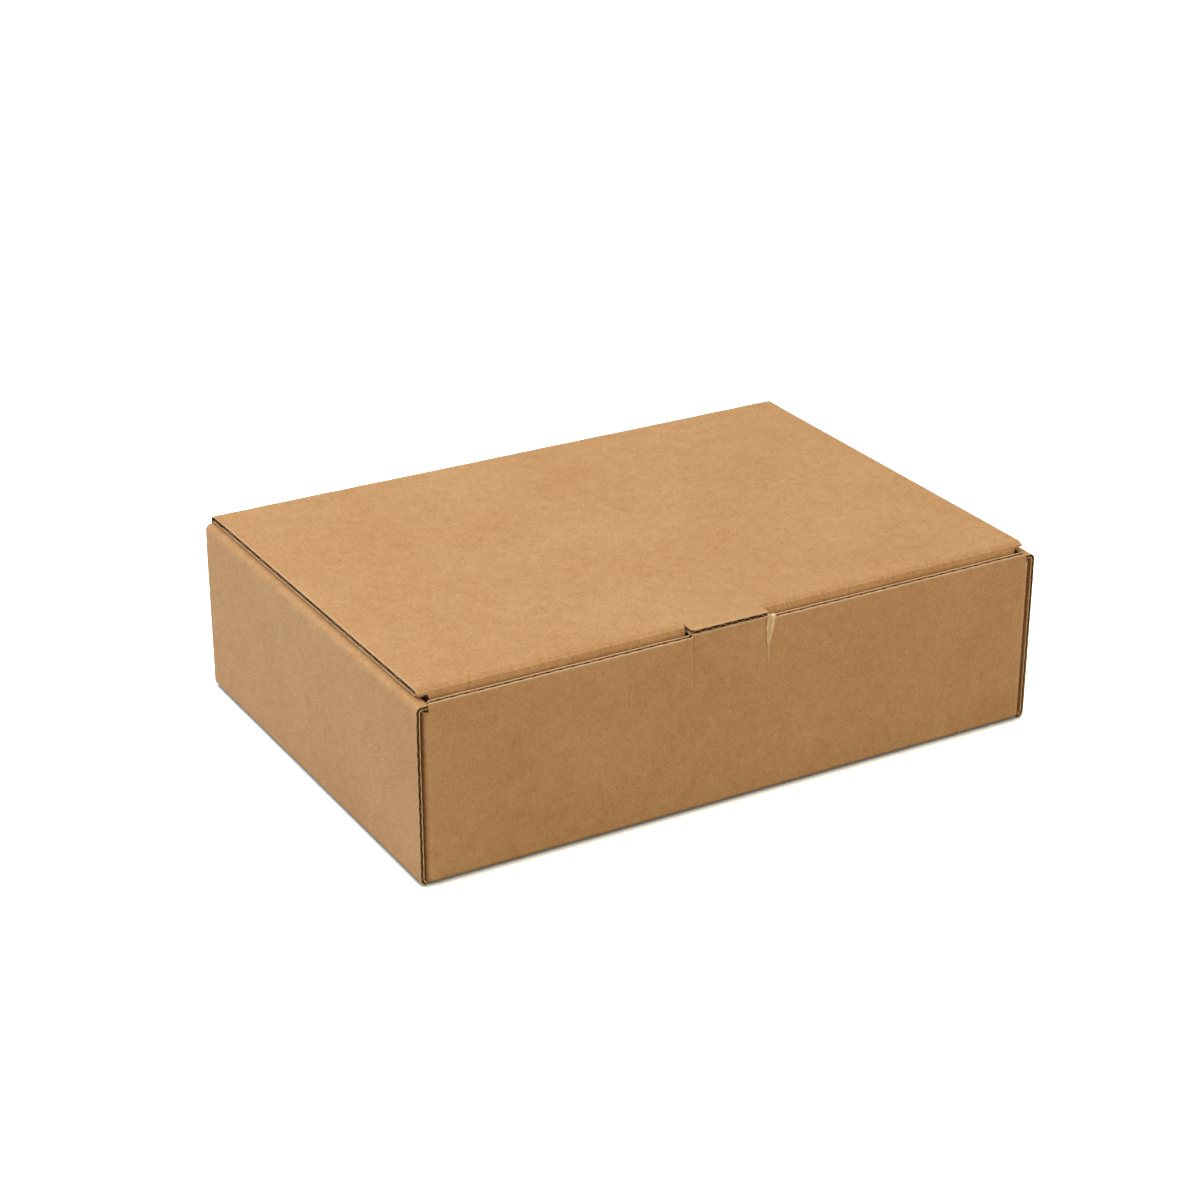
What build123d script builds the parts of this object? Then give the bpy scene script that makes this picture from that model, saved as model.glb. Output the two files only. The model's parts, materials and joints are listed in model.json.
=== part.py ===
from build123d import *
from math import pi, radians, tan
import os

# A die-cut mailer box of single-wall B-flute board, closed.
#
# One folded blank makes the whole box. The tray has a bottom, a front and a rear wall
# with corner wings, and rolled double end walls that lock into slots in the bottom.
# The lid grows from the rear wall on a crease. It rests on the rolled end walls, its
# front edge folds down into a tuck flap behind the front wall, and a finger tab runs
# on past that fold over the front wall's top edge. The blank is split only at the lid's
# crease, because the lid turns there.
#
# Millimetres. Origin at the middle of the underside, +X to the right of somebody who
# faces the front wall, +Y to the rear, +Z up.

# --- outside sizes ---------------------------------------------------------
length = 320.0  # over the end walls, along X
depth = 222.0  # over the front and rear walls, along Y
height = 89.0  # floor to the lid's top

# --- board -----------------------------------------------------------------
board = 3.0  # thickness of the board
liner = 0.4  # each outer sheet
medium = 0.35  # the wavy sheet between them
flute_pitch = 6.4
flute_reach = 8.0  # how far the open flutes run in from a cut edge
flute_base = 4.6  # width of one flute opening at its liner
flute_crown = 1.3  # width of the same opening at its crest

# --- folds and fits --------------------------------------------------------
fold_radius = 2.6  # outside of a wall's fold
lid_fold_radius = 4.2  # outside of the lid's front fold, which is softer
layer_gap = 0.25  # between two layers of board that lie together
edge_gap = 0.6  # between a cut edge and the panel that it faces
splay = 0.3  # how far an end wall leans out over its height
hinge_gap = 0.3  # between the lid's rounded rear edge and the rear wall
lid_inset = 3.75  # lid's side edge, in from the end wall's outer face

# --- panels ----------------------------------------------------------------
wing_length = 74.0
front_drop = 0.5  # front wall's top edge, below the finger tab
flap_depth = 38.0  # tuck flap, below the lid's top
flap_taper = 10.0  # narrowing of the tuck flap at each end, at its tip
flap_lean = 6.0  # degrees that the tuck flap leans in, so that it clears as it lifts
tab_width = 39.0
tab_centre = -6.0
tab_setback = 0.6  # finger tab's front edge, behind the front wall's face
tab_slit = 0.6  # slit between the finger tab and the fold on each side of it
lock_width = 34.0  # each locking tab on an end wall's inner panel
lock_spacing = 110.0
lock_lift = 0.5  # locking tabs end this far above the underside

# --- worked out from the above ---------------------------------------------
half_length = length / 2
half_depth = depth / 2
wall_top = height - board  # the lid's underside rests here
roll_width = 3 * board + 2 * layer_gap  # outer panel, corner wing and inner panel
inner_face = half_length - splay - roll_width  # inner face of a rolled end wall
wall_half = half_length - board - layer_gap - splay  # front and rear walls, each way from the middle
lid_half = half_length - lid_inset
front_top = wall_top - front_drop
pivot_y = half_depth - board / 2
pivot_z = height - board / 2
rear_top = pivot_z - board / 2 - hinge_gap
end_span = depth - 2 * edge_gap
flap_face = -half_depth + board + edge_gap  # outer face of the tuck flap
flap_half = inner_face - edge_gap  # tuck flap, each way from the middle, below its fold
lid_front = flap_face + lid_fold_radius  # where the flat of the lid ends and its fold begins
roll_span = 2 * abs(lid_front + edge_gap)  # the roll and inner panel stop short of the lid's fold


def flute_row(plane, run):
    """The open flutes of a cut edge, to be cut out of it. plane lies on that edge, with
    its x along the edge and its z out of it. run is the edge's length."""
    rise = board - 2 * liner - medium
    steps = int((run / 2 - flute_base / 2 - liner) / (flute_pitch / 2))
    with BuildPart() as openings:
        with BuildSketch(plane):
            for step in range(-steps, steps + 1):
                side = 1 if step % 2 else -1
                middle = step * flute_pitch / 2
                foot = side * (board / 2 - liner)
                crest = foot - side * rise
                with BuildLine():
                    Polyline(
                        (middle - flute_base / 2, foot),
                        (middle - flute_crown / 2, crest),
                        (middle + flute_crown / 2, crest),
                        (middle + flute_base / 2, foot),
                        close=True,
                    )
                make_face()
        extrude(amount=-flute_reach)
    return openings.part


# --- end walls: one section of the fold, rolled or, near the corners, curled ---
foot = half_length - splay
bottom_reach = inner_face - board
curl_end = lid_half + edge_gap
end_plane = Plane.XZ.offset(-end_span / 2)
roll_plane = Plane.XZ.offset(-roll_span / 2)

with BuildPart() as end_wall:
    # outer panel over the whole depth, with its top curled in
    with BuildSketch(end_plane) as outer_section:
        with BuildLine():
            Polyline(
                (bottom_reach, 0),
                (foot, 0),
                (half_length, wall_top),
                (curl_end, wall_top),
                (curl_end, wall_top - board),
                (half_length - board, wall_top - board),
                (foot - board, board),
                (bottom_reach, board),
                close=True,
            )
        make_face()
        folds = outer_section.vertices().sort_by(Axis.X)[-2:]
        fillet(folds, fold_radius)
    extrude(amount=end_span)

    # roll over the top and inner panel, between the corners
    with BuildSketch(roll_plane) as roll_section:
        with BuildLine():
            Polyline(
                (curl_end, wall_top),
                (inner_face, wall_top),
                (inner_face, board + edge_gap),
                (inner_face + board, board + edge_gap),
                (inner_face + board, wall_top - board),
                (curl_end, wall_top - board),
                close=True,
            )
        make_face()
        inner_fold = roll_section.vertices().group_by(Axis.Y)[-1].sort_by(Axis.X)[0]
        fillet(inner_fold, fold_radius)
    extrude(amount=roll_span)

    # locking tabs, and the slots in the bottom that they stand in
    for along in (-lock_spacing / 2, lock_spacing / 2):
        with BuildSketch(Plane.XY):
            with Locations((inner_face + board / 2, along)):
                Rectangle(board + 2 * layer_gap, lock_width + 2 * edge_gap)
        extrude(amount=board, mode=Mode.SUBTRACT)
        with BuildSketch(Plane.XY.offset(lock_lift)):
            with Locations((inner_face + board / 2, along)):
                Rectangle(board, lock_width)
        extrude(amount=board + 2 * edge_gap)

    # open flutes in the outer panel's cut ends
    panel_rise = wall_top - 2 * fold_radius
    lean_x = splay / wall_top
    for facing in (-1, 1):
        cut_end = Plane(
            origin=(half_length - splay / 2 - board / 2, facing * end_span / 2, wall_top / 2),
            x_dir=(lean_x, 0, 1),
            z_dir=(0, facing, 0),
        )
        add(flute_row(cut_end, panel_rise), mode=Mode.SUBTRACT)

# --- tray ------------------------------------------------------------------
with BuildPart() as tray:
    # bottom, front wall and rear wall: one section, folded twice
    with BuildSketch(Plane.YZ.offset(-wall_half)) as wall_section:
        with BuildLine():
            Polyline(
                (-half_depth, front_top),
                (-half_depth, 0),
                (half_depth, 0),
                (half_depth, rear_top),
                (half_depth - board, rear_top),
                (half_depth - board, board),
                (-half_depth + board, board),
                (-half_depth + board, front_top),
                close=True,
            )
        make_face()
        folds = wall_section.vertices().group_by(Axis.Y)[0]
        fillet(folds, fold_radius)
    extrude(amount=2 * wall_half)

    # the bottom stops where the end walls' own section takes over
    for side in (-1, 1):
        with BuildSketch(Plane.XY):
            with Locations((side * (bottom_reach + half_length) / 2, 0)):
                Rectangle(half_length - bottom_reach, end_span - 2 * board)
        extrude(amount=board + edge_gap, mode=Mode.SUBTRACT)

    # corner wings, folded in between the two layers of the end walls
    for side in (-1, 1):
        for facing in (-1, 1):
            middle = (side * (wall_half - board / 2), facing * (half_depth - wing_length / 2))
            with BuildSketch(Plane.XY.offset(board + edge_gap)):
                with Locations(middle):
                    Rectangle(board, wing_length)
            extrude(amount=wall_top - 2 * (board + edge_gap))
    corners = [
        edge
        for edge in tray.edges().filter_by(Axis.Z)
        if abs(edge.center().X) > wall_half - edge_gap / 2
        and abs(edge.center().Y) > half_depth - edge_gap / 2
    ]
    fillet(corners, fold_radius)

    # open flutes along the front wall's top
    front_edge = Plane(
        origin=(0, -half_depth + board / 2, front_top), x_dir=(1, 0, 0), z_dir=(0, 0, 1)
    )
    add(flute_row(front_edge, 2 * (wall_half - fold_radius)), mode=Mode.SUBTRACT)

    add(end_wall.part)
    add(end_wall.part.mirror(Plane.YZ))

# --- lid -------------------------------------------------------------------
fold_centre = (lid_front, height - lid_fold_radius)
flap_top = height - lid_fold_radius
flap_tip = height - flap_depth
lean_in = (flap_top - flap_tip) * tan(radians(flap_lean))
tab_front = -half_depth + tab_setback
tab_reach = lid_front - tab_front
fold_run = (lid_fold_radius - board / 2) * pi / 2
window_bottom = flap_top - (tab_reach - fold_run)  # the tab leaves a window in the flap

with BuildPart() as lid:
    # panel, with its rear edge rounded about the crease
    with BuildSketch(Plane.YZ.offset(-lid_half)):
        with BuildLine():
            Line((pivot_y, wall_top), (lid_front, wall_top))
            Line((lid_front, wall_top), (lid_front, height))
            Line((lid_front, height), (pivot_y, height))
            RadiusArc((pivot_y, height), (pivot_y, wall_top), board / 2)
        make_face()
    extrude(amount=2 * lid_half)

    # front fold: a quarter turn of the board
    with BuildSketch(Plane.YZ.offset(-lid_half)):
        with BuildLine():
            CenterArc(fold_centre, lid_fold_radius, 90, 90)
            Line((flap_face, flap_top), (flap_face + board, flap_top))
            CenterArc(fold_centre, lid_fold_radius - board, 90, 90)
            Line((lid_front, wall_top), (lid_front, height))
        make_face()
    extrude(amount=2 * lid_half)

    # tuck flap, leaning in and narrower towards its tip
    with BuildSketch(Plane.YZ.offset(-flap_half)):
        with BuildLine():
            Polyline(
                (flap_face, flap_top),
                (flap_face + board, flap_top),
                (flap_face + board + lean_in, flap_tip),
                (flap_face + lean_in, flap_tip),
                close=True,
            )
        make_face()
    extrude(amount=2 * flap_half)
    for side in (-1, 1):
        with BuildSketch(Plane.XZ.offset(-lid_front)):
            with BuildLine():
                Polyline(
                    (side * flap_half, flap_top),
                    (side * (flap_half - flap_taper), flap_tip),
                    (side * lid_half, flap_tip),
                    (side * lid_half, flap_top),
                    close=True,
                )
            make_face()
        extrude(amount=2 * board, both=True, mode=Mode.SUBTRACT)

    # finger tab: slit free of the fold, so it stays in the lid's plane
    with BuildSketch(Plane.XY.offset(window_bottom)):
        with Locations((tab_centre, (lid_front + flap_face) / 2 - board / 2)):
            Rectangle(tab_width + 2 * tab_slit, lid_front - flap_face + board)
    extrude(amount=height - window_bottom, mode=Mode.SUBTRACT)
    with BuildSketch(Plane.XY.offset(wall_top)):
        with Locations((tab_centre, lid_front - tab_reach / 2)):
            Rectangle(tab_width, tab_reach)
    extrude(amount=board)

    # open flutes in the tab's front edge and the tuck flap's tip
    tab_edge = Plane(
        origin=(tab_centre, tab_front, height - board / 2), x_dir=(1, 0, 0), z_dir=(0, -1, 0)
    )
    tip_edge = Plane(
        origin=(0, flap_face + board / 2 + lean_in, flap_tip),
        x_dir=(1, 0, 0),
        z_dir=(0, tan(radians(flap_lean)), -1),
    )
    for edge_plane, run in ((tab_edge, tab_width), (tip_edge, 2 * (flap_half - flap_taper))):
        add(flute_row(edge_plane, run), mode=Mode.SUBTRACT)

tray.part.label = "tray"
lid.part.label = "lid"

os.makedirs("parts", exist_ok=True)
export_step(tray.part, "parts/tray.step")
export_step(lid.part, "parts/lid.step")
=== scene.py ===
import json
from math import atan2, cos, pi, radians, sin, tan

import bmesh
import bpy
import numpy as np
from mathutils import Matrix, Vector


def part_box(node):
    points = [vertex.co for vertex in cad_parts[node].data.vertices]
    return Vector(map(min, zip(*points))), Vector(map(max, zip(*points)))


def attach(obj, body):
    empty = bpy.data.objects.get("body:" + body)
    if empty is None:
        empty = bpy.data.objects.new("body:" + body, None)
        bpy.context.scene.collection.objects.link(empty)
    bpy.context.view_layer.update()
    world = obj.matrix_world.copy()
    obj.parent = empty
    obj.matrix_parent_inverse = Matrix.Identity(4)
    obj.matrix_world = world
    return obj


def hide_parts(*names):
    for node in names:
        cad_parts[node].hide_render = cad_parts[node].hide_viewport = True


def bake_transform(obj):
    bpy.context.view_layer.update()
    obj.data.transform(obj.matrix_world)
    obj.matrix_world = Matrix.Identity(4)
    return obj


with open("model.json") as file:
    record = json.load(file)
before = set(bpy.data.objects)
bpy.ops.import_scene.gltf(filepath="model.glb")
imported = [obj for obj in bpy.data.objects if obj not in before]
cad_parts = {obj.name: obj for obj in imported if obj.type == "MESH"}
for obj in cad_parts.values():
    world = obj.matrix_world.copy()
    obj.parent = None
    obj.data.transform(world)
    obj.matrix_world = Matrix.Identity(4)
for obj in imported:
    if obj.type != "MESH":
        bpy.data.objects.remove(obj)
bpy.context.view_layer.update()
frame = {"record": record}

# A closed mailer box of B-flute board. Each panel is two liners bent along a path, with a wavy
# medium between them near the cut edges that show. Sizes are millimetres, in the frame's axes,
# until a mesh is made.
MM = 0.001

# --- from the frame ----------------------------------------------------------
tray_high = np.array(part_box("tray")[1]) / MM
lid_low, lid_high = [np.array(corner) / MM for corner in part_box("lid")]
hinge = np.array(frame["record"]["behaviour"]["joints"][0]["pos_m"]) / MM

half_length = tray_high[0]
half_depth = tray_high[1]
wall_top = tray_high[2]
top = lid_high[2]
lid_half = lid_high[0]
tab_front = lid_low[1]
flap_tip = lid_low[2]
BOARD = top - wall_top
HALF = BOARD / 2

# --- board -------------------------------------------------------------------
LINER = 0.55
MEDIUM = 0.30
PITCH = 6.4
WAVE = HALF - LINER - MEDIUM / 2 + 0.02  # the medium's crests are glued into the liners
FLUTE_DEPTH = 14.0  # how far in from a cut edge the medium is made
GAP = 0.25
EDGE_GAP = 0.6
WELD = 2e-6  # vertices of one mesh that lie closer than this, in metres, are one
SHARP_ANGLE = radians(38)

# --- folds, by the radius of the board's centreline --------------------------
fold = 1.55  # between the bottom and a wall, and at the lid's crease
corner_fold = 0.75
roll_fold = 1.6
lid_fold = 0.55
INNER_RADIUS = 0.25  # a tight fold crushes its inside until this radius is left
CRUSH_REACH = 1.5  # how far the crushing runs out past a fold

# --- panels ------------------------------------------------------------------
lean = 0.3  # how far an end wall leans out over its height
foot = half_length - lean
wall_shift = 0.15  # the front and rear walls sit a little nearer to the right end wall
wall_half = foot - BOARD - GAP
wing_step = 4.0  # a wing is this much lower from this far behind its fold
wing_lean = 1.0  # how far a wing leans in behind its fold
inner_face = wall_half - wall_shift - wing_lean - BOARD - GAP - BOARD
front_top = wall_top - 0.5
end_half = half_depth - EDGE_GAP
wing_length = 74.0
wing_low = BOARD + EDGE_GAP
fold_low = 0.9  # the vertical corner folds reach lower than their wings
roll_sink = 1.2  # how far the rolled end walls' tops lie below the lid
wing_high = wall_top - roll_sink - BOARD - 0.4
flap_centre = -half_depth + BOARD + 3.5
flap_lean = radians(6)
flap_half = wall_half - wall_shift - wing_lean - BOARD - 0.6
flap_taper = 10.0
flap_taper_run = 18.0  # the flap's sides lean in over this much of its width
roll_half = abs(flap_centre) - HALF - 1.4
tab_width = 39.0
tab_centre = -7.0
slit = 0.7
lock_width = 34.0
lock_spacing = 110.0
lock_middles = (-lock_spacing / 2, lock_spacing / 2)
crease_run = 12.0  # the strip about the lid's crease, each way from the crease

PAPER, INSIDE, CUT, WAVY, TORN = range(5)  # material slots of a board mesh


def ripple(x, seed, length, octaves=3):
    """A smooth seeded wobble of about -1 to 1 along x, whose longest waves are about length."""
    rng = np.random.default_rng(seed)
    total = np.zeros_like(np.asarray(x, float))
    for octave in range(octaves):
        for _ in range(2):
            stretch = length / 2**octave * rng.uniform(0.7, 1.4)
            wave = np.sin(2 * pi * x / stretch + rng.uniform(0, 2 * pi))
            total = total + wave / 2 ** (octave + 1)
    return total / 1.5


def bump(x, low, high, soft):
    """1 between low and high, falling smoothly to 0 over soft on each side."""
    rise = np.clip((x - low) / soft + 1, 0, 1)
    fall = np.clip((high - x) / soft + 1, 0, 1)
    return (rise * rise * (3 - 2 * rise)) * (fall * fall * (3 - 2 * fall))


def merged(*grids):
    """The positions of all the grids, in order, with those that nearly meet taken once."""
    places = np.sort(np.concatenate(grids))
    keep = np.concatenate([[True], np.diff(places) > 1e-4])
    return places[keep]


def spaced(*stretches):
    """Grid positions through stretches of (low, high, step), with the ends kept."""
    parts = []
    for low, high, step in stretches:
        count = max(1, int(np.ceil((high - low) / step - 1e-6)))
        parts.append(np.linspace(low, high, count + 1))
    return merged(*parts)


def middles(grid):
    """The middles of a grid's cells."""
    return (grid[:-1] + grid[1:]) / 2


def whole(us, vs):
    """The cells of a sheet that covers its whole grid."""
    return np.ones((len(us) - 1, len(vs) - 1), bool)


class Path:
    """Straight runs joined by arcs, in a plane, measured along their length."""

    def __init__(self, corners, side):
        """corners are (a, b, radius), with radius 0 at the two ends. side is +1 if the
        board's outer face lies left of the way along, and -1 if right."""
        points = [np.array(corner[:2], float) for corner in corners]
        steps = [after - before for before, after in zip(points, points[1:])]
        angles = [atan2(step[1], step[0]) for step in steps]
        self.side = side
        self.folds = []
        self.crush = []
        rows = []
        at, place = 0.0, points[0]
        for k, angle in enumerate(angles):
            along = np.array([cos(angle), sin(angle)])
            stop, turn, cut = points[k + 1], 0.0, 0.0
            if k + 1 < len(angles):
                turn = (angles[k + 1] - angle + pi) % (2 * pi) - pi
                cut = corners[k + 1][2] * tan(abs(turn) / 2)
                stop = stop - along * cut
            run = float(np.linalg.norm(stop - place))
            rows.append((at, *place, angle, 0.0))
            at += run
            place = stop
            if turn:
                radius = corners[k + 1][2]
                arc = radius * abs(turn)
                rows.append((at, *place, angle, turn / arc))
                self.folds.append((at, at + arc))
                self.crush.append(min(1, (radius - INNER_RADIUS) / HALF))
                at += arc
                after = angles[k + 1]
                place = points[k + 1] + np.array([cos(after), sin(after)]) * cut
        self.length = at
        self.table = np.array(rows)  # start, a, b, angle and curvature of each run and arc

    def at(self, s, w):
        """Points a distance s along the path and w out of it. A tight fold crushes its inside."""
        s = np.asarray(s, float)
        for (low, high), crush in zip(self.folds, self.crush):
            w = np.where(w < 0, w * (1 - (1 - crush) * bump(s, low, high, CRUSH_REACH)), w)
        row = np.searchsorted(self.table[:, 0], s, side="right") - 1
        row = np.clip(row, 0, len(self.table) - 1)
        start, a, b, angle, curve = (self.table[row, k] for k in range(5))
        ahead = s - start
        turned = angle + curve * ahead
        bent = np.abs(curve) > 0
        radius = 1 / np.where(bent, curve, 1)
        arc_a = a + radius * (np.sin(turned) - np.sin(angle))
        arc_b = b - radius * (np.cos(turned) - np.cos(angle))
        line_a = a + ahead * np.cos(angle)
        line_b = b + ahead * np.sin(angle)
        out = turned + self.side * pi / 2
        return (
            np.where(bent, arc_a, line_a) + w * np.cos(out),
            np.where(bent, arc_b, line_b) + w * np.sin(out),
        )

    def stations(self, step, fold_step=0.45, reach=3.0, near_step=0.9):
        """Grid positions along the path, closer together in and beside the folds."""
        stretches = []
        last = 0.0
        for low, high in self.folds:
            near, far = max(last, low - reach), min(self.length, high + reach)
            if near > last:
                stretches.append((last, near, step))
            stretches.append((near, low, near_step))
            stretches.append((low, high, fold_step))
            stretches.append((high, far, near_step))
            last = far
        if self.length > last:
            stretches.append((last, self.length, step))
        return spaced(*stretches)

    def foldness(self, s, soft=2.0):
        """1 in a fold, falling to 0 beside it."""
        total = np.zeros_like(np.asarray(s, float))
        for low, high in self.folds:
            total = np.maximum(total, bump(s, low, high, soft))
        return total


class Board:
    """Collects closed sheets of paper and makes one mesh of them."""

    def __init__(self, name):
        self.name = name
        self.points, self.faces, self.kinds, self.flat, self.wear_and_highlight = [], [], [], [], []
        self.count = 0

    def sheet(self, us, vs, cells, place, low, high, kinds, joined=None, wear_and_highlight=None, shift=(0, 0)):
        """A sheet over the cells of the grid us by vs that are True. place(u, v, w) gives
        its points, low and high its two faces, as numbers or functions of (u, v). kinds is
        the material of the low face, the high face and the cut edges. joined(u, v) is True
        at the middle of an edge that another sheet carries on from."""
        u, v = np.meshgrid(us, vs, indexing="ij")
        rows, columns = u.shape
        layers = []
        for level in (low, high):
            w = level(u, v) if callable(level) else np.full_like(u, level)
            layers.append(np.stack(place(u, v, w), axis=-1))
            self.flat.append(np.stack([u + shift[0], v + shift[1], w], axis=-1).reshape(-1, 3))
            worn_and_highlighted = wear_and_highlight(u, v) if wear_and_highlight is not None else np.zeros_like(u)
            self.wear_and_highlight.append(np.broadcast_to(worn_and_highlighted, u.shape).reshape(-1))
        number = np.arange(rows * columns).reshape(rows, columns)
        offset = rows * columns
        a, b = number[:-1, :-1], number[1:, :-1]
        c, d = number[1:, 1:], number[:-1, 1:]
        present = np.asarray(cells, bool)
        low_points, high_points = [layer.reshape(-1, 3) for layer in layers]
        spots = np.argwhere(present)
        spot = tuple(spots[len(spots) // 2])
        corner = high_points[a[spot]]
        across = np.cross(high_points[b[spot]] - corner, high_points[d[spot]] - corner)
        flip = np.dot(across, corner - low_points[a[spot]]) < 0
        upper = np.stack([a[present], b[present], c[present], d[present]], axis=1) + offset
        lower = np.stack([d[present], c[present], b[present], a[present]], axis=1)
        quads = [upper, lower]
        marks = [np.full(len(upper), kinds[1]), np.full(len(lower), kinds[0])]
        around = np.zeros((rows + 1, columns + 1), bool)
        around[1:-1, 1:-1] = present
        cell_u = middles(us)[:, None]
        cell_v = middles(vs)[None, :]
        sides = (
            (around[:-2, 1:-1], a, d, (us[:-1, None], cell_v)),
            (around[2:, 1:-1], c, b, (us[1:, None], cell_v)),
            (around[1:-1, :-2], b, a, (cell_u, vs[None, :-1])),
            (around[1:-1, 2:], d, c, (cell_u, vs[None, 1:])),
        )
        for beside, start, stop, (mid_u, mid_v) in sides:
            open_side = present & ~beside
            if joined is not None:
                mid_u = np.broadcast_to(mid_u, present.shape)
                mid_v = np.broadcast_to(mid_v, present.shape)
                open_side = open_side & ~joined(mid_u, mid_v)
            s, e = start[open_side], stop[open_side]
            quads.append(np.stack([s, e, e + offset, s + offset], axis=1)[:, ::-1])
            marks.append(np.full(len(s), kinds[2]))
        quads = np.concatenate(quads)
        if flip:
            quads = quads[:, ::-1]
        self.points += [low_points, high_points]
        self.faces.append(quads + self.count)
        self.kinds.append(np.concatenate(marks))
        self.count += 2 * offset

    def panel(self, us, vs, cells, place, joined=None, wear_and_highlight=None, shift=(0, 0)):
        """Both liners of a panel, whose outer face is at w = HALF."""
        for low, high, kinds in (
            (HALF - LINER, HALF, (WAVY, PAPER, CUT)),
            (-HALF, LINER - HALF, (INSIDE, WAVY, CUT)),
        ):
            self.sheet(us, vs, cells, place, low, high, kinds, joined, wear_and_highlight, shift)

    def flutes(self, us, vs, place, across_v, slip=None, shift=(0, 0)):
        """The wavy medium over the whole grid. Its waves run across v, or across u."""

        def middle(u, v):
            along = v if across_v else u
            if slip is not None:
                along = along + slip(u, v)
            return WAVE * np.sin(2 * pi * along / PITCH)

        self.sheet(
            us,
            vs,
            whole(us, vs),
            place,
            lambda u, v: middle(u, v) - MEDIUM / 2,
            lambda u, v: middle(u, v) + MEDIUM / 2,
            (WAVY, WAVY, INSIDE),
            shift=shift,
        )

    def build(self, materials):
        """The mesh object, in metres, with vertices that meet welded."""
        points = np.concatenate(self.points)
        faces = np.concatenate(self.faces)
        kinds = np.concatenate(self.kinds)
        used, faces = np.unique(faces, return_inverse=True)
        faces = faces.reshape(-1, 4)
        mesh = bpy.data.meshes.new(self.name)
        mesh.from_pydata((points[used] * MM).tolist(), [], faces.tolist())
        mesh.polygons.foreach_set("material_index", kinds.astype(np.int32))
        flat = mesh.attributes.new("flat", "FLOAT_VECTOR", "POINT")
        flat.data.foreach_set("vector", np.concatenate(self.flat)[used].astype(np.float32).ravel())
        # One attribute per point carries both the rubbing and the painted edge highlights.
        worn_and_highlighted = mesh.attributes.new("wear_and_highlight", "FLOAT", "POINT")
        worn_and_highlighted.data.foreach_set("value", np.concatenate(self.wear_and_highlight)[used].astype(np.float32))
        made = bmesh.new()
        made.from_mesh(mesh)
        bmesh.ops.remove_doubles(made, verts=made.verts, dist=WELD)
        made.to_mesh(mesh)
        made.free()
        mesh.shade_smooth()
        mesh.set_sharp_from_angle(angle=SHARP_ANGLE)
        for material in materials:
            mesh.materials.append(material)
        piece = bpy.data.objects.new(self.name, mesh)
        bpy.context.scene.collection.objects.link(piece)
        return piece


def wave_steps(low, high):
    """Grid positions fine enough for the flutes."""
    return spaced((low, high, PITCH / 8))


# --- materials ---------------------------------------------------------------
RUB_AND_HIGHLIGHT = (0.86, 0.60, 0.36, 1)  # where the liner's surface is worn off, and the colour of painted highlights along some edges


def mixed(tree, factor, first, second):
    """The socket of a colour between first and second, each a colour or a socket."""
    node = tree.nodes.new("ShaderNodeMix")
    node.data_type = "RGBA"
    tree.links.new(factor, node.inputs["Factor"])
    for name, colour in (("A", first), ("B", second)):
        if isinstance(colour, tuple):
            node.inputs[name].default_value = colour
        else:
            tree.links.new(colour, node.inputs[name])
    return node.outputs["Result"]


def nodes_of(name):
    """A new material and its empty node tree."""
    material = bpy.data.materials.new(name)
    material.use_nodes = True
    tree = material.node_tree
    tree.nodes.clear()
    return material, tree


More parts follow.
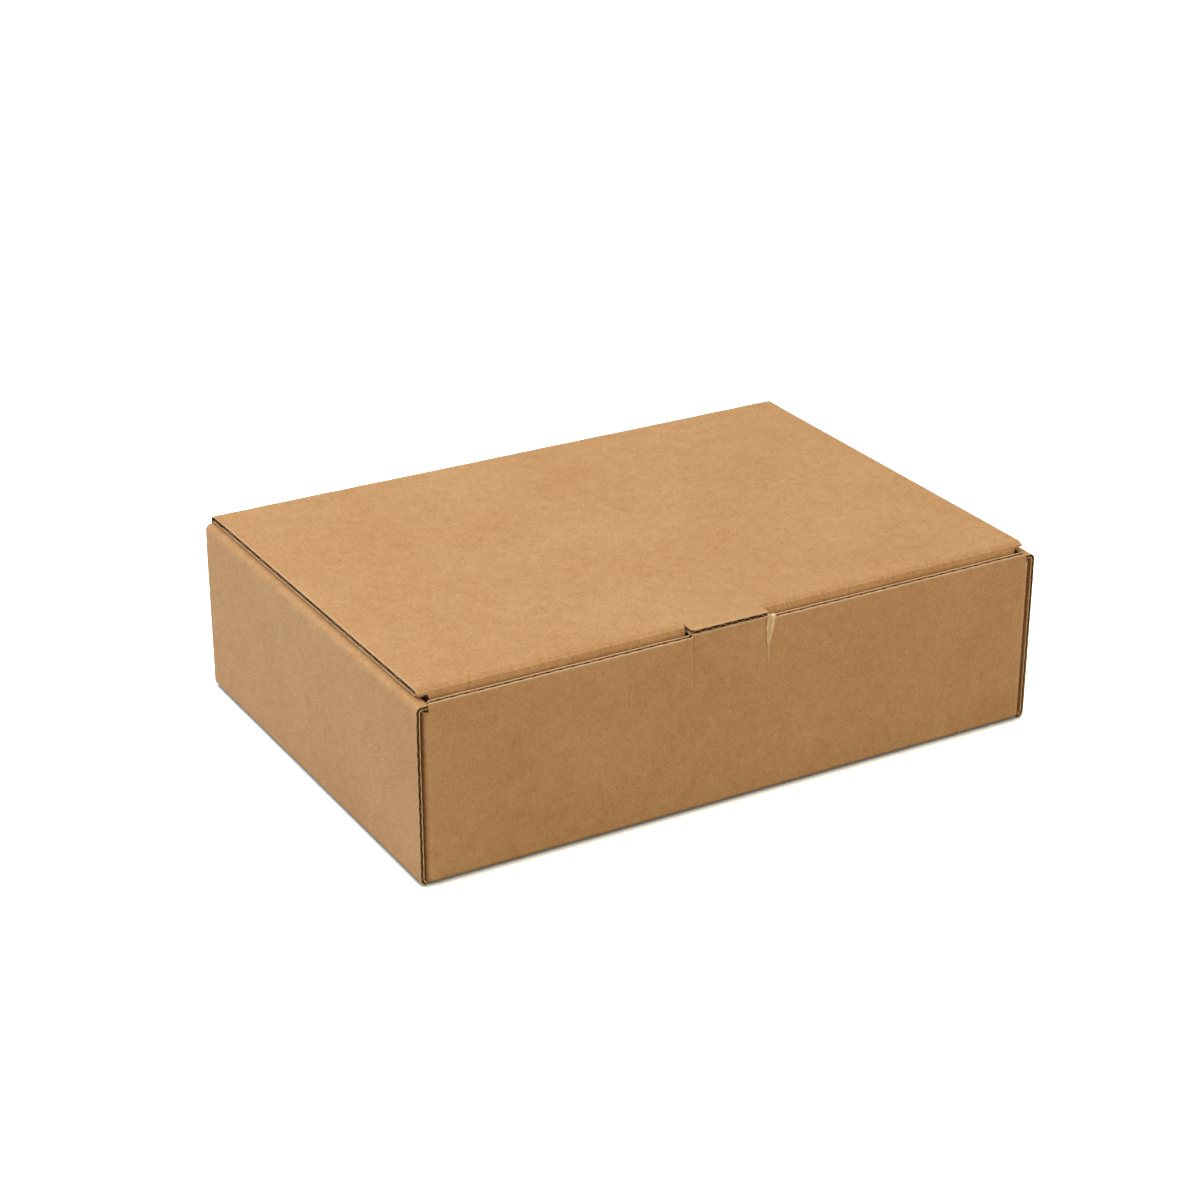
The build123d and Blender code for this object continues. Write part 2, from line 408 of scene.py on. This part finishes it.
def paper(name, colour, deep, spread, fibre_bump, grain=1.0):
    """Kraft paper: soft clouds, blotches, short fibres and a few dark specks. It varies about
    colour, down towards deep, and a larger spread takes it further. fibre_bump is the relief's
    depth in millimetres, and a grain under 1 draws the fibres out along u."""
    material, tree = nodes_of(name)
    new, link = tree.nodes.new, tree.links.new
    flat = new("ShaderNodeAttribute")
    flat.attribute_name = "flat"
    wear_and_highlight = new("ShaderNodeAttribute")
    wear_and_highlight.attribute_name = "wear_and_highlight"

    def noise(scale, detail, rough, distortion, stretch=(1, 1, 1)):
        mapping = new("ShaderNodeMapping")
        mapping.inputs["Scale"].default_value = (stretch[0] * grain, stretch[1], stretch[2])
        link(flat.outputs["Vector"], mapping.inputs["Vector"])
        texture = new("ShaderNodeTexNoise")
        texture.inputs["Scale"].default_value = scale
        texture.inputs["Detail"].default_value = detail
        texture.inputs["Roughness"].default_value = rough
        texture.inputs["Distortion"].default_value = distortion
        link(mapping.outputs["Vector"], texture.inputs["Vector"])
        return texture.outputs["Fac"]

    def fitted(value, low, high, to_low, to_high):
        node = new("ShaderNodeMapRange")
        node.inputs["From Min"].default_value = low
        node.inputs["From Max"].default_value = high
        node.inputs["To Min"].default_value = to_low
        node.inputs["To Max"].default_value = to_high
        link(value, node.inputs["Value"])
        return node.outputs["Result"]

    def math(kind, first, second):
        node = new("ShaderNodeMath")
        node.operation = kind
        for socket, value in zip(node.inputs, (first, second)):
            if isinstance(value, (int, float)):
                socket.default_value = value
            else:
                link(value, socket)
        return node.outputs[0]

    clouds = fitted(noise(0.016, 2, 0.5, 0.4), 0.3, 0.7, -1, 1)
    blotches = fitted(noise(0.15, 3, 0.55, 0.9), 0.3, 0.7, -1, 1)
    bends = fitted(noise(0.55, 2, 0.5, 1.4, (0.9, 1, 1)), 0.3, 0.7, -1, 1)
    swirls = fitted(math("ABSOLUTE", bends, 0), 0, 0.8, 1, -1)
    fibres = fitted(noise(1.5, 2, 0.6, 1.0, (0.7, 1, 1)), 0.3, 0.7, -1, 1)
    total = math("MULTIPLY", clouds, 0.22)
    for layer, weight in ((blotches, 0.26), (swirls, 0.42), (fibres, 0.50)):
        total = math("ADD", total, math("MULTIPLY", layer, weight))
    ramp = new("ShaderNodeValToRGB")
    ramp.color_ramp.elements[0].position = 0.0
    ramp.color_ramp.elements[0].color = (*deep, 1)
    ramp.color_ramp.elements[1].position = 1.0
    ramp.color_ramp.elements[1].color = (*[2 * c - d for c, d in zip(colour, deep)], 1)
    link(fitted(total, -1, 1, 0.5 - spread, 0.5 + spread), ramp.inputs["Fac"])

    specks = fitted(noise(0.8, 3, 0.7, 1.6, (0.5, 1.3, 1)), 0.70, 0.80, 0, 0.5)
    speck_colour = (*[c * 0.55 for c in deep], 1)
    speckled = mixed(tree, specks, ramp.outputs["Color"], speck_colour)
    # Rubbed folds and creases are lighter, and so are painted highlights along some cut edges; both
    # come in through this one attribute.
    rub_and_highlight = math("MULTIPLY", wear_and_highlight.outputs["Fac"], fitted(blotches, -1, 1, 0.5, 0.9))

    shader = new("ShaderNodeBsdfPrincipled")
    link(mixed(tree, rub_and_highlight, speckled, RUB_AND_HIGHLIGHT), shader.inputs["Base Color"])
    link(fitted(swirls, -1, 1, 0.62, 0.78), shader.inputs["Roughness"])
    shader.inputs["Specular IOR Level"].default_value = 0.35

    height = math("ADD", math("MULTIPLY", fibres, 0.45), math("MULTIPLY", swirls, 0.55))
    relief = new("ShaderNodeBump")
    relief.inputs["Strength"].default_value = 1.0
    relief.inputs["Distance"].default_value = fibre_bump * MM
    link(height, relief.inputs["Height"])
    link(relief.outputs["Normal"], shader.inputs["Normal"])
    output = new("ShaderNodeOutputMaterial")
    link(shader.outputs["BSDF"], output.inputs["Surface"])
    return material


kraft = paper("kraft_outside", (0.560, 0.318, 0.145), (0.448, 0.216, 0.075), 0.50, 0.07)
kraft_inside = paper("kraft_inside", (0.540, 0.308, 0.142), (0.425, 0.210, 0.075), 0.50, 0.08)
# The cut liner is lighter for its bare fibres, and brightened further as a painted highlight on the
# cut edges.
cut_edge_and_highlight = paper("cut_liner_and_highlight", (0.82, 0.57, 0.33), (0.62, 0.38, 0.19), 0.50, 0.06)
# The fluting is far darker than its kraft paper: painted shade deep in the flutes.
fluting_painted_shade = paper("fluting_painted_shade", (0.150, 0.076, 0.031), (0.105, 0.050, 0.019), 0.50, 0.05)
torn = paper("torn_liner", (0.84, 0.60, 0.38), (0.52, 0.30, 0.15), 0.60, 0.12, grain=0.12)
board_materials = [kraft, kraft_inside, cut_edge_and_highlight, fluting_painted_shade, torn]


# --- the grids that the panels share -----------------------------------------
straight_half = wall_half - HALF - corner_fold  # where a wall's corner fold begins
wall_plane = -half_depth + HALF  # centreline of the front wall, in y
floor_edge = half_depth - HALF - fold  # where the bottom's front and rear folds begin
floor_end = foot - HALF - fold  # where the bottom's end folds begin
tab_low = tab_centre - tab_width / 2
tab_high = tab_centre + tab_width / 2
tear_x = 12.2  # left side of the torn liner
crease_x = -25.5  # the crease left of the finger tab
crease_low = 61.0
mark_x = crease_x - 4.8  # a fainter mark left of the crease
dent_left = -25.4
dent_right = 12.6
dent_low = 58.0
dent_depth = 1.7
even_half = 148.0  # the walls' columns are even out to here, but for the marks

# Stretches of (low, high, step), closer together at the marks, the tear and the corners.
wall_columns = spaced(
    (-straight_half, -even_half, 1.2),
    (-even_half, -36, 5.6),
    (-36, -31.2, 2.4),
    (-31.2, -30.0, 0.3),
    (-30.0, -27.2, 1.4),
    (-27.2, -24.8, 0.3),
    (-24.8, -21.0, 1.9),
    (-21, 9, 3.25),
    (9, tear_x - 0.8, 1.2),
    (tear_x - 0.8, tear_x + 0.8, 0.25),
    (tear_x + 0.8, 20, 1.8),
    (20, even_half, 5.8),
    (even_half, straight_half, 1.2),
)
lock_edges = []
for middle in lock_middles:
    lock_edges += [middle - lock_width / 2, middle + lock_width / 2]
floor_rows = spaced(
    (-floor_edge, -roll_half, 1.2),
    (-roll_half, lock_edges[0] - EDGE_GAP, 5.2),
    (lock_edges[0] - EDGE_GAP, lock_edges[0], 1),
    (lock_edges[0], lock_edges[1], 5.7),
    (lock_edges[1], lock_edges[1] + EDGE_GAP, 1),
    (lock_edges[1] + EDGE_GAP, lock_edges[2] - EDGE_GAP, 5.4),
    (lock_edges[2] - EDGE_GAP, lock_edges[2], 1),
    (lock_edges[2], lock_edges[3], 5.7),
    (lock_edges[3], lock_edges[3] + EDGE_GAP, 1),
    (lock_edges[3] + EDGE_GAP, roll_half, 5.2),
    (roll_half, floor_edge, 1.2),
)


# --- front and rear walls ----------------------------------------------------
def dent(x, z):
    """How far the front wall is pushed in behind its face, under the finger tab."""
    across = bump(x, dent_left, dent_right, 1.6)
    down = np.clip((z - dent_low) / (front_top - dent_low), 0, 1)
    return dent_depth * across * down**1.8


def ridge(x, middle, width):
    """1 at the middle, falling to 0 within about two widths."""
    return np.exp(-(((x - middle) / width) ** 2))


def carve(x, z):
    """How deep the creases and the tear beside the finger tab cut into the front liner."""
    high = bump(z, crease_low, wall_top, 1)
    depth = 0.34 * ridge(x, crease_x, 0.28) * high
    depth = depth - 0.14 * ridge(x, crease_x - 0.7, 0.35) * high
    depth = depth + 0.15 * ridge(x, mark_x, 0.25) * bump(z, 79, wall_top, 2)
    return depth + 0.5 * ridge(x, tear_x, 0.28) * np.clip((z - 66) / 10, 0, 1)


def wall_maker(facing):
    """The front wall (facing -1) or rear wall (+1), with its wings: the path it rises on, the
    path it turns the corner on, the u of height 0, and the place function. The rear wall is
    made as a front wall and then mirrored."""
    above = wall_top + 20  # past the height of any wall
    bow_depth = 0.35
    wave_depth = 0.10
    upright = Path(
        [(-floor_edge, HALF, 0), (wall_plane, HALF, fold), (wall_plane, above, 0)], side=1
    )
    wing_plane = wall_half - HALF
    corner = Path(
        [(0, wall_plane, 0), (wing_plane, wall_plane, corner_fold), (wing_plane, 0, 0)], side=-1
    )
    base = upright.folds[0][1] - (HALF + fold)

    def place(u, v, w):
        y, z = upright.at(u, w)
        x, y_corner = corner.at(np.abs(v), w)
        y = y + y_corner - (wall_plane - w)
        x = x - wing_lean * np.clip((np.abs(v) - corner.folds[0][1]) / 8, 0, 1)
        x = x * np.sign(v) + wall_shift
        on_wall = bump(np.abs(v), 0, straight_half - 6, 6) * bump(z, 12, above, 8)
        upward = np.sin(pi * np.clip(z / front_top, 0, 1))
        y = y + bow_depth * upward * np.cos(pi * v / (2 * wall_half)) * on_wall
        if facing < 0:
            wave = wave_depth * ripple(v, 5, 46) * np.clip(z / front_top, 0, 1)
            y = y + (dent(x, z) + wave + carve(x, z) * (w > HALF - 1.5 * LINER)) * on_wall
            z = z + wave_depth * ripple(v, 6, 21) * np.clip((z - 60) / 25, 0, 1) * on_wall
            return x, y, z
        return x, -y, z

    return upright, corner, base, place


def add_wall(board, facing, high):
    """A wall up to the height high, with its two corner folds and wings."""
    upright, corner, base, place = wall_maker(facing)
    fold_top = upright.folds[0][1]
    rise = base + high
    marked = base + 56  # the rows are closer together above here, where the front is marked
    wing_end = base + wing_high
    rows = [(0, fold_top, 0.5), (fold_top, fold_top + 3, 0.8)]
    if high > wing_high:
        rows += [
            (fold_top + 3, marked, 5.2),
            (marked, wing_end - wing_step, 3.2),
            (wing_end - wing_step, wing_end, 1.0),
            (wing_end, rise, 0.8),
        ]
    else:
        rows.append((fold_top + 3, rise, 5.4))
    us = merged(spaced(*rows), [base + fold_low, base + wing_low])
    fold_end = corner.folds[0][1]
    outward = spaced(
        (straight_half, fold_end, 0.45),
        (fold_end, fold_end + 3, 1.0),
        (fold_end + 3, fold_end + wing_length, 6.0),
    )
    vs = np.concatenate([-outward[::-1][:-1], wall_columns, outward[1:]])
    mid_u = middles(us)[:, None]
    mid_v = np.abs(middles(vs))[None, :]
    on_wall = mid_v < straight_half
    top_of_wing = base + min(high, wing_high)
    lowest = base + np.where(mid_v < fold_end, fold_low, wing_low)
    on_wing = (mid_v > straight_half) & (mid_u > lowest) & (mid_u < top_of_wing)
    short = (mid_v > fold_end + wing_step) & (mid_u > wing_end - wing_step)
    cells = (on_wall | on_wing) & ~short
    shift = (facing * 400, 0)  # keeps the paper's pattern apart from the bottom's

    def wear_and_highlight(u, v):
        folds = 0.12 * np.maximum(upright.foldness(u, 1.2), corner.foldness(np.abs(v), 0.8))
        if facing > 0:
            return folds
        # A painted highlight: a light band along the front wall's top edge.
        edge = bump(u, rise - 0.3, rise + 5, 0.5)
        creased = bump(u, base + crease_low, rise, 1)
        crease = 0.22 * ridge(v + wall_shift, crease_x - 0.8, 0.4) * creased
        return np.maximum(np.maximum(folds, edge), crease)

    board.panel(us, vs, cells, place, joined=lambda u, v: u < 1e-6, wear_and_highlight=wear_and_highlight, shift=shift)
    if facing < 0:
        board.flutes(
            spaced((rise - FLUTE_DEPTH, rise, 3.5)),
            wave_steps(-straight_half, straight_half),
            place,
            across_v=True,
            slip=lambda u, v: 0.35 * ripple(v, 9, 30),
            shift=shift,
        )


def add_tear(board):
    """The strip of liner torn up beside the finger tab, hanging on the front wall's face."""
    _, _, base, wall_place = wall_maker(-1)
    rise = base + front_top
    curl = 1.1  # radius with which it bends back over the wall's top edge
    over = 2.2  # how far it goes on past that edge
    widest = 2.1
    thickness = 0.22
    tip = base + 60.5
    heights = np.array([tip, base + 69, base + 76, base + 82, base + 86])
    halves = np.array([0.12, 0.35, 0.85, 1.6, 1.95])
    centres = np.array([12.9, 13.1, 13.4, 14.1, 14.5]) - wall_shift

    def place(u, v, w):
        level = np.minimum(u, rise)
        across = np.interp(u, heights, centres) + v / widest * np.interp(u, heights, halves)
        across = across + 0.12 * ripple(u + 3 * v, 81, 5)
        x, y, z = wall_place(level, across, HALF + 0.04)
        turned = (u - level) / curl
        lift = w + 0.10 * (1 + ripple(u + 2 * v, 82, 4)) * (1 - np.abs(v) / widest)
        y = y + curl * (1 - np.cos(turned)) - lift * np.cos(turned)
        z = z + curl * np.sin(turned) + lift * np.sin(turned)
        return x, y, z

    us = spaced((tip, rise, 0.7), (rise, rise + over, 0.25))
    vs = spaced((-widest, widest, 0.35))
    board.sheet(us, vs, whole(us, vs), place, 0.0, thickness, (TORN, TORN, TORN))


# --- bottom ------------------------------------------------------------------
def add_bottom(board):
    """The bottom, with the slots that take the locking tabs."""
    slot_low = inner_face - GAP
    slot_high = inner_face + BOARD + GAP
    ends = spaced(
        (-floor_end, -slot_high, 1.2),
        (-slot_high, -slot_low, 1.2),
        (slot_low, slot_high, 1.2),
        (slot_high, floor_end, 1.2),
    )
    xs = merged(ends, wall_columns + wall_shift)
    ys = floor_rows
    mid_x = np.abs(middles(xs))[:, None]
    mid_y = middles(ys)[None, :]
    in_slot = ~whole(xs, ys)
    for middle in lock_middles:
        reach = lock_width / 2 + EDGE_GAP
        in_slot |= (mid_x > slot_low) & (mid_x < slot_high) & (np.abs(mid_y - middle) < reach)

    def place(u, v, w):
        return u, v, HALF - w

    def joined(u, v):
        at_wall = (np.abs(np.abs(v) - floor_edge) < 1e-6) & (np.abs(u - wall_shift) < straight_half)
        return at_wall | (np.abs(np.abs(u) - floor_end) < 1e-6)

    board.panel(xs, ys, ~in_slot, place, joined=joined)


# --- end walls ---------------------------------------------------------------
def add_end(board, side):
    """The end wall at x < 0 (side -1) or x > 0 (+1), rolled over and locked in the bottom."""
    lean_face = half_length - HALF
    roll_in = inner_face + HALF
    roll_plane = wall_top - roll_sink - HALF
    lock_low = 0.5  # height of the locking tabs' ends
    edge_crush = 0.36  # how much thinner the wall's raw edges are pressed
    roll_dip = 0.16
    bow_depth = 0.5
    path = Path(
        [
            (floor_end, HALF, 0),
            (foot - HALF, HALF, fold),
            (lean_face, roll_plane, roll_fold),
            (roll_in, roll_plane, roll_fold),
            (roll_in, lock_low, 0),
        ],
        side=-1,
    )
    # The raw ends of the roll stop over the corner fold, and its inner panel above the bottom.
    curl_stop = straight_half + side * wall_shift + 0.12
    curl_end = path.folds[1][1] + (lean_face - roll_fold - curl_stop)
    inner_end = path.length - (BOARD + EDGE_GAP - lock_low)
    us = merged(path.stations(5.5), [curl_end, inner_end])
    lips = spaced((-end_half, -floor_edge, 1.0)), spaced((floor_edge, end_half, 1.0))
    vs = merged(*lips, floor_rows)
    mid_u = middles(us)[:, None]
    mid_v = middles(vs)[None, :]
    outer = mid_u < curl_end
    rolled = (np.abs(mid_v) < roll_half) & (mid_u < inner_end)
    locks = ~whole(us, vs)
    for middle in lock_middles:
        locks |= (np.abs(mid_v - middle) < lock_width / 2) & (mid_u > 0)
    cells = outer | rolled | locks
    shift = (side * 900, 0)  # keeps the paper's pattern apart from the other panels'

    def place(u, v, w):
        crush = 1 - edge_crush * bump(np.abs(v), end_half - 2, end_half + 1, 4)
        x, z = path.at(u, HALF - (HALF - w) * crush)
        on_top = bump(u, path.folds[1][0] - 2, path.folds[2][1], 4)
        x = x - on_top * roll_dip * (1 + ripple(v, 21 + side, 26)) * np.sign(half_length - x)
        bow = np.sin(pi * np.clip(z / wall_top, 0, 1)) * bump(u, 0, path.folds[1][0], 2)
        x = x - bow_depth * bow * np.cos(pi * v / (2 * half_depth)) ** 2
        return side * x, v, z

    def wear_and_highlight(u, v):
        return 0.10 * path.foldness(u, 2.5) * (1 + 0.5 * ripple(v, 25 + side, 17))

    board.panel(
        us,
        vs,
        cells,
        place,
        joined=lambda u, v: (u < 1e-6) & (np.abs(v) < floor_edge),
        wear_and_highlight=wear_and_highlight,
        shift=shift,
    )
    raw = spaced((end_half - FLUTE_DEPTH, end_half - 6, 4), (end_half - 6, end_half, 2))
    hidden = spaced((roll_half - FLUTE_DEPTH, roll_half, 3.5))
    for facing in (-1, 1):
        board.flutes(
            wave_steps(0.5, curl_end),
            np.sort(raw * facing),
            place,
            across_v=False,
            slip=lambda u, v: 0.5 * ripple(u, 30 + side, 30),
            shift=shift,
        )
        board.flutes(
            wave_steps(curl_end + 0.2, inner_end),
            np.sort(hidden * facing),
            place,
            across_v=False,
            shift=shift,
        )


# --- lid ---------------------------------------------------------------------
lid_plane = top - HALF
lid_path = Path(
    [
        (hinge[1] - crease_run, lid_plane, 0),
        (flap_centre, lid_plane, lid_fold),
        (flap_centre + (lid_plane - flap_tip) * tan(flap_lean), flap_tip, 0),
    ],
    side=-1,
)
fold_start, fold_stop = lid_path.folds[0]
tab_reach = (hinge[1] - crease_run - fold_start) - tab_front  # past the fold's start
tab_end = fold_start + tab_reach
fold_press = 0.75  # how far the fold before the tuck flap is pressed in
tab_press = 0.12  # how much thinner the finger tab's end is
tab_round = 3.0  # how far from its left side the tab's end is rounded
tab_round_depth = 1.6


def place_lid(u, v, w):
    """The lid and its tuck flap, pressed in along the fold between them, but for the tab."""
    near = bump(u, fold_start, fold_stop, 1.2) * (1 - bump(v, tab_low - 1, tab_high + 1, 2))
    w = w - near * fold_press * (1 + 0.16 * ripple(v, 41, PITCH * 1.07, 2) + 0.14 * ripple(v, 42, 60))
    y, z = lid_path.at(u, w)
    down = np.clip((u - fold_stop) / (lid_path.length - fold_stop), 0, 1)
    end = flap_half - flap_taper_run
    past = np.maximum(np.abs(v) - end, 0)
    tapered = np.sign(v) * (end + past * (1 - down * flap_taper / flap_taper_run))
    return np.where(np.abs(v) > end, tapered, v), y, z


def place_tab(u, v, w):
    """The finger tab, which runs straight on from the lid and is rounded at its left corner."""
    y = hinge[1] - crease_run - u
    ahead = np.clip((u - fold_start) / tab_reach, 0, 1)
    press = 1 - tab_press * ahead**1.5
    corner = np.clip((v - tab_low) / tab_round, 0, 1)
    arc = np.sqrt(np.clip(1 - (1 - corner) ** 2, 0, 1))
    y = y + (1 - arc) * tab_round_depth * ahead
    return v, y, lid_plane + w * press


def add_lid(board):
    """The lid's panel with its tuck flap, and the finger tab in a window cut in their fold."""
    us = merged(lid_path.stations(5.5, fold_step=0.5), [tab_end])
    vs = spaced(
        (-lid_half, -lid_half + 0.9, 0.45),
        (-lid_half + 0.9, -flap_half, 1.4),
        (-flap_half, tab_low - slit - 6, 3.1),
        (tab_low - slit - 6, tab_low - slit, 1.0),
        (tab_low - slit, tab_low, 1.0),
        (tab_low, tab_low + tab_round, 0.6),
        (tab_low + tab_round, tab_high, 3.0),
        (tab_high, tab_high + slit, 1.0),
        (tab_high + slit, tab_high + slit + 6, 1.0),
        (tab_high + slit + 6, flap_half, 3.1),
        (flap_half, lid_half - 0.9, 1.4),
        (lid_half - 0.9, lid_half, 0.45),
    )
    mid_u = middles(us)[:, None]
    mid_v = middles(vs)[None, :]
    in_tab = (mid_v > tab_low - slit) & (mid_v < tab_high + slit)
    window = in_tab & (mid_u > fold_start) & (mid_u < tab_end)
    beyond = (np.abs(mid_v) > flap_half) & (mid_u > fold_stop)
    cells = ~window & ~beyond

    def at_tab(u, v):
        return (np.abs(u - fold_start) < 1e-6) & (v > tab_low) & (v < tab_high)

    def wear_and_highlight(u, v):
        # A painted highlight: a light line along the lid's side edges.
        return 0.5 * bump(np.abs(v), lid_half - 0.3, lid_half + 1, 0.5) * bump(u, 0, fold_start, 1)

    board.panel(us, vs, cells, place_lid, joined=at_tab, wear_and_highlight=wear_and_highlight)

    tab_us = spaced((fold_start, tab_end - 0.9, 0.9), (tab_end - 0.9, tab_end, 0.45))
    tab_vs = vs[(vs >= tab_low - 1e-6) & (vs <= tab_high + 1e-6)]
    board.panel(
        tab_us,
        tab_vs,
        whole(tab_us, tab_vs),
        place_tab,
        joined=lambda u, v: np.abs(u - fold_start) < 1e-6,
        # A painted highlight: a light rim along the finger tab's end.
        wear_and_highlight=lambda u, v: 0.6 * bump(u, tab_end - 0.3, tab_end + 1, 0.5),
    )
    board.flutes(
        spaced((fold_start - 6, fold_start, 3), (fold_start, tab_end, 1.2)),
        wave_steps(tab_low, tab_high),
        place_tab,
        across_v=True,
        slip=lambda u, v: 0.5 * ripple(v, 51, 18),
    )
    board.flutes(
        spaced((lid_path.length - FLUTE_DEPTH, lid_path.length, 3.5)),
        wave_steps(-flap_half, flap_half),
        place_lid,
        across_v=True,
    )
    for side in (-1, 1):
        near = np.sort(side * wave_steps(lid_half - 2 * PITCH, lid_half))
        board.flutes(
            spaced((0, fold_start, 3.0), (fold_start, fold_stop, 0.5)),
            near,
            place_lid,
            across_v=True,
            slip=lambda u, v: 1.7 * ripple(u, 61 + side, 17),
        )


# --- the strip about the lid's crease ----------------------------------------
def add_crease(board):
    """The board's turn from the rear wall to the lid."""
    path = Path(
        [
            (half_depth - HALF, lid_plane - crease_run, 0),
            (half_depth - HALF, lid_plane, fold),
            (hinge[1] - crease_run, lid_plane, 0),
        ],
        side=-1,
    )
    us = path.stations(4.0)
    even = wall_half - 4  # the columns are even out to here
    columns = spaced((-lid_half, -even, 1.5), (-even, even, 6.2), (even, lid_half, 1.5))
    vs = merged(columns, [-wall_half, wall_half])
    mid_u = middles(us)[:, None]
    mid_v = np.abs(middles(vs))[None, :]
    cells = (mid_v < wall_half) | (mid_u > path.folds[0][1])

    def place(u, v, w):
        near = path.foldness(u, 2.0)
        w = w - near * 0.10 * (1 + ripple(v, 71, 6.6, 2))
        y, z = path.at(u, w)
        return v, y, z

    board.panel(us, vs, cells, place, wear_and_highlight=lambda u, v: 0.1 * path.foldness(u, 2.0))


tray = Board("tray_board")
add_wall(tray, -1, front_top)
add_tear(tray)
add_wall(tray, 1, lid_plane - crease_run)
add_bottom(tray)
add_end(tray, -1)
add_end(tray, 1)
tray_piece = tray.build(board_materials)
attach(tray_piece, "box")
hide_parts("tray")

lid = Board("lid_board")
add_lid(lid)
lid_piece = lid.build(board_materials)
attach(lid_piece, "lid")
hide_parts("lid")

crease = Board("lid_crease")
add_crease(crease)
crease_piece = crease.build(board_materials)
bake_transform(crease_piece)


# --- stage, light and camera --------------------------------------------------
def seen_directly(tree):
    """1 for a ray from the camera or through a mirror or glass, which see the white set."""
    path = tree.nodes.new("ShaderNodeLightPath")
    largest = path.outputs["Is Camera Ray"]
    for name in ("Is Glossy Ray", "Is Transmission Ray"):
        node = tree.nodes.new("ShaderNodeMath")
        node.operation = "MAXIMUM"
        tree.links.new(largest, node.inputs[0])
        tree.links.new(path.outputs[name], node.inputs[1])
        largest = node.outputs[0]
    return largest


def make_floor():
    """A white floor. Its colour darkens close to the box, a painted contact shadow, and it lights
    the box with a warmer, dimmer colour than the camera sees."""
    floor_half = 6.0
    drop = 0.0002
    shadow_reach = 0.0055
    painted_shadow_colour = (0.50, 0.58, 0.66, 1)
    far_colour = (3.0, 3.5, 4.2, 1)  # past white, so that the floor is even in the picture
    bounced = (0.25, 0.215, 0.14, 1)
    corners = [(a * floor_half, b * floor_half, 0) for a, b in ((-1, -1), (1, -1), (1, 1), (-1, 1))]
    mesh = bpy.data.meshes.new("floor")
    mesh.from_pydata(corners, [], [(0, 1, 2, 3)])
    floor = bpy.data.objects.new("floor", mesh)
    floor.location.z = -drop
    bpy.context.scene.collection.objects.link(floor)
    material, tree = nodes_of("floor_white")
    new, link = tree.nodes.new, tree.links.new
    # The ambient occlusion darkens the floor's colour near the box: a painted contact shadow.
    close = new("ShaderNodeAmbientOcclusion")
    close.samples = 3
    close.inputs["Distance"].default_value = shadow_reach
    clear = new("ShaderNodeMapRange")
    clear.interpolation_type = "SMOOTHSTEP"
    clear.inputs["From Min"].default_value = 0.42
    clear.inputs["From Max"].default_value = 0.95
    link(close.outputs["AO"], clear.inputs["Value"])
    painted_contact_shadow = mixed(tree, clear.outputs["Result"], painted_shadow_colour, far_colour)
    shader = new("ShaderNodeBsdfDiffuse")
    link(mixed(tree, seen_directly(tree), bounced, painted_contact_shadow), shader.inputs["Color"])
    output = new("ShaderNodeOutputMaterial")
    link(shader.outputs["BSDF"], output.inputs["Surface"])
    mesh.materials.append(material)


def make_world():
    """A white background that lights the box with a warmer, dimmer colour."""
    ambient = (0.54, 0.48, 0.35, 1)
    white = (1, 1, 1, 1)
    world = bpy.data.worlds.new("studio")
    bpy.context.scene.world = world
    world.use_nodes = True
    tree = world.node_tree
    tree.nodes.clear()
    new, link = tree.nodes.new, tree.links.new
    background = new("ShaderNodeBackground")
    link(mixed(tree, seen_directly(tree), ambient, white), background.inputs["Color"])
    output = new("ShaderNodeOutputWorld")
    link(background.outputs["Background"], output.inputs["Surface"])


def area_lamp(name, place, width, height, power, colour=(1, 1, 1)):
    """A rectangular lamp, in metres and watts, that faces the box."""
    target = Vector((0, 0, 0.05))
    data = bpy.data.lights.new(name, "AREA")
    data.shape = "RECTANGLE"
    data.size, data.size_y, data.energy = width, height, power
    data.color = colour
    lamp = bpy.data.objects.new(name, data)
    lamp.location = place
    lamp.rotation_mode = "QUATERNION"
    lamp.rotation_quaternion = (target - Vector(place)).to_track_quat("-Z", "Y")
    bpy.context.scene.collection.objects.link(lamp)


def make_camera():
    """The photograph's camera, as fitted to the box's edges."""
    place = (-0.6038, -1.02427, 0.59938)
    data = bpy.data.cameras.new("camera")
    data.sensor_width = 36
    data.lens = 83.2
    data.clip_start, data.clip_end = 0.05, 50
    camera = bpy.data.objects.new("camera", data)
    turn = Matrix.Rotation(radians(-30.169), 4, "Z")
    tilt = Matrix.Rotation(radians(65.322), 4, "X")
    roll = Matrix.Rotation(radians(0.19), 4, "Z")
    camera.matrix_world = Matrix.Translation(place) @ turn @ tilt @ roll
    bpy.context.scene.collection.objects.link(camera)
    bpy.context.scene.camera = camera


make_floor()
make_world()
area_lamp("key", (-1.1, 0.95, 1.85), 1.4, 1.4, 31)
area_lamp("front_fill", (0.4, -2.2, 1.1), 1.6, 1.2, 15.6, (1, 0.88, 0.77))
make_camera()

bpy.context.scene.view_settings.view_transform = "Standard"
